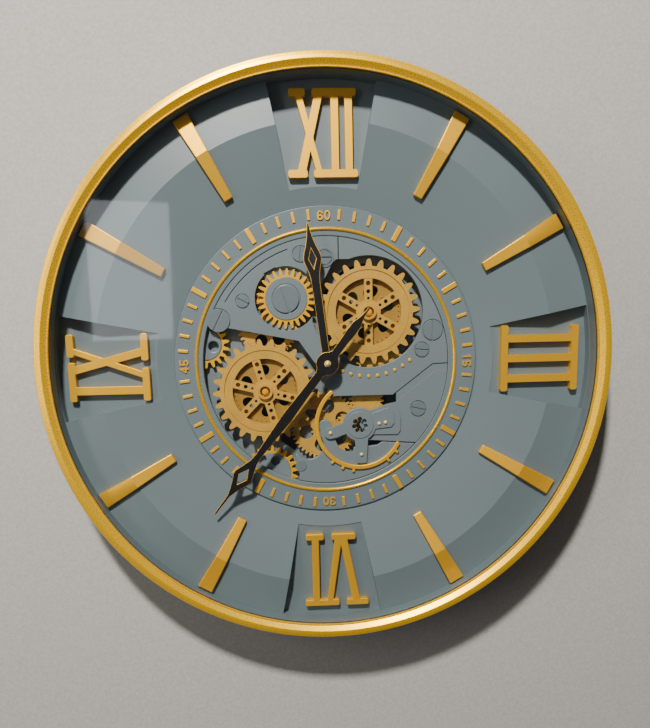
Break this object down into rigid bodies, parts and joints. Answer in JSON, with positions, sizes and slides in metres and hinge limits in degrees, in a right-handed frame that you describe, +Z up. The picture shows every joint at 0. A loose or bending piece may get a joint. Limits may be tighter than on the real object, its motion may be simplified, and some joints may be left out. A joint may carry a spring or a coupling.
{
  "type": "wall clock",
  "caption": "Round skeleton wall clock with a gold bezel, blue-gray coned dial, Roman numerals and an open centre with turning gear wheels.",
  "frame": {"origin": "on the hand axis, in the plane of the wall, at the back panel's rear face", "axes": "+X to the viewer's right, +Y into the wall along the hand axis, +Z up towards twelve o'clock"},
  "size_m": [0.5959, 0.076, 0.596],
  "materials": {
    "case_black": "satin black paint",
    "bezel_gold": "polished gold plating",
    "trim_gold": "satin gold paint on moulded plastic",
    "wheel_gold": "sandy gold coat",
    "pearl_gold": "polished gilt metal",
    "dial_blue": "satin blue-gray paint",
    "plate_blue": "satin blue-gray paint",
    "screw_blue": "blue-gray painted steel",
    "hand_black": "satin black with gold edges",
    "front_glass": "clear float glass",
    "seal_rubber": "black rubber",
    "arbor_steel": "turned steel",
    "back_board": "black board",
    "hanger_steel": "zinc-plated steel",
    "movement_plastic": "black moulded plastic",
    "switch_plastic": "light gray plastic",
    "cell_wrap": "plain printed sleeve"
  },
  "bodies": {
    "frame": {"back_panel": "back_board", "balance_cock": "plate_blue", "balance_pearls": "pearl_gold", "balance_rim": "trim_gold", "battery_cells": "cell_wrap", "bezel_ring": "bezel_gold", "bezel_screws": "case_black", "bridge_screws": "screw_blue", "bridge_studs": "trim_gold", "case_shell": "case_black", "chapter_bead": "trim_gold", "chapter_ring": "dial_blue", "clock_movement": "movement_plastic", "crown_cap": "plate_blue", "crown_screw": "screw_blue", "crown_wheel": "trim_gold", "dial_plate": "dial_blue", "front_glass": "front_glass", "glass_gasket": "seal_rubber", "hanger_plate": "hanger_steel", "hour_bars": "trim_gold", "left_ornament_hub": "plate_blue", "left_ornament_teeth": "trim_gold", "lower_bridge": "plate_blue", "lower_ornament_hub": "plate_blue", "lower_ornament_teeth": "trim_gold", "lower_right_bridge": "plate_blue", "main_plate": "plate_blue", "minute_marks": "trim_gold", "minute_numbers": "trim_gold", "motor_unit": "movement_plastic", "movement_nut": "arbor_steel", "numeral_nine": "trim_gold", "numeral_six": "trim_gold", "numeral_three": "trim_gold", "numeral_twelve": "trim_gold", "plate_pillars": "plate_blue", "rear_screws": "hanger_steel", "right_bridge": "plate_blue", "upper_left_bridge": "plate_blue"},
    "lower_wheel": {"lower_show_wheel": "wheel_gold", "lower_drive_gear": "wheel_gold", "lower_arbor": "trim_gold"},
    "upper_wheel": {"upper_show_wheel": "wheel_gold", "upper_drive_gear": "wheel_gold", "upper_arbor": "trim_gold"},
    "third_wheel_set": {"third_wheel": "wheel_gold", "third_pinion": "wheel_gold"},
    "small_wheel_set": {"small_wheel": "wheel_gold"},
    "idler_wheel_set": {"idler_wheel": "wheel_gold"},
    "left_wheel_set": {"left_wheel": "wheel_gold"},
    "balance_wheel_set": {"balance_wheel": "wheel_gold"},
    "motor_pinion_set": {"motor_pinion": "movement_plastic"},
    "minute_hand_set": {"minute_hand": "hand_black", "hand_cap": "pearl_gold"},
    "hour_hand_set": {"hour_hand": "hand_black"},
    "set_knob_body": {"set_knob": "movement_plastic"},
    "clock_door": {"clock_battery_door": "movement_plastic"},
    "motor_door": {"motor_battery_door": "movement_plastic"},
    "switch": {"slide_switch": "switch_plastic"}
  },
  "joints": [
    {"name": "lower_wheel_spin", "type": "hinge", "parent": "frame", "child": "lower_wheel", "pos_m": [-0.0665, -0.035, -0.0285], "axis": [0, 1, 0], "continuous": true},
    {"name": "upper_wheel_spin", "type": "hinge", "parent": "frame", "child": "upper_wheel", "pos_m": [0.0455, -0.035, 0.0525], "axis": [0, 1, 0], "continuous": true},
    {"name": "third_wheel_spin", "type": "hinge", "parent": "frame", "child": "third_wheel_set", "pos_m": [-0.00333, -0.035, -0.0678], "axis": [0, 1, 0], "continuous": true},
    {"name": "small_wheel_spin", "type": "hinge", "parent": "frame", "child": "small_wheel_set", "pos_m": [0.04307, -0.035, -0.04096], "axis": [0, 1, 0], "continuous": true},
    {"name": "idler_wheel_spin", "type": "hinge", "parent": "frame", "child": "idler_wheel_set", "pos_m": [0.05793, -0.035, -0.0021], "axis": [0, 1, 0], "continuous": true},
    {"name": "left_wheel_spin", "type": "hinge", "parent": "frame", "child": "left_wheel_set", "pos_m": [-0.06102, -0.035, 0.04169], "axis": [0, 1, 0], "continuous": true},
    {"name": "balance_wheel_spin", "type": "hinge", "parent": "frame", "child": "balance_wheel_set", "pos_m": [0.03427, -0.035, -0.067], "axis": [0, 1, 0], "continuous": true},
    {"name": "motor_spin", "type": "hinge", "parent": "frame", "child": "motor_pinion_set", "pos_m": [0.09473, -0.035, -0.0021], "axis": [0, 1, 0], "continuous": true},
    {"name": "minute_hand_turn", "type": "hinge", "parent": "frame", "child": "minute_hand_set", "pos_m": [0, -0.035, 0], "axis": [0, 1, 0], "continuous": true},
    {"name": "hour_hand_turn", "type": "hinge", "parent": "frame", "child": "hour_hand_set", "pos_m": [0, -0.035, 0], "axis": [0, 1, 0], "continuous": true},
    {"name": "set_knob_turn", "type": "hinge", "parent": "frame", "child": "set_knob_body", "pos_m": [-0.014, -0.035, 0.014], "axis": [0, 1, 0], "continuous": true},
    {"name": "clock_door_slide", "type": "slide", "parent": "frame", "child": "clock_door", "axis": [0, 1, 0], "range_m": [0, 0.03]},
    {"name": "motor_door_slide", "type": "slide", "parent": "frame", "child": "motor_door", "axis": [0, 1, 0], "range_m": [0, 0.03]},
    {"name": "switch_slide", "type": "slide", "parent": "frame", "child": "switch", "axis": [1, 0, 0], "range_m": [0, 0.004]}
  ],
  "couplings": [
    {"joint": "upper_wheel_spin", "follows": "lower_wheel_spin", "ratio": 1.2},
    {"joint": "third_wheel_spin", "follows": "lower_wheel_spin", "ratio": -1.0667},
    {"joint": "small_wheel_spin", "follows": "lower_wheel_spin", "ratio": 2.1818},
    {"joint": "idler_wheel_spin", "follows": "lower_wheel_spin", "ratio": -1.6},
    {"joint": "left_wheel_spin", "follows": "lower_wheel_spin", "ratio": -1.2},
    {"joint": "balance_wheel_spin", "follows": "lower_wheel_spin", "ratio": 0.72381},
    {"joint": "motor_spin", "follows": "lower_wheel_spin", "ratio": 3},
    {"joint": "hour_hand_turn", "follows": "minute_hand_turn", "ratio": 0.083333},
    {"joint": "set_knob_turn", "follows": "minute_hand_turn", "ratio": -1}
  ]
}
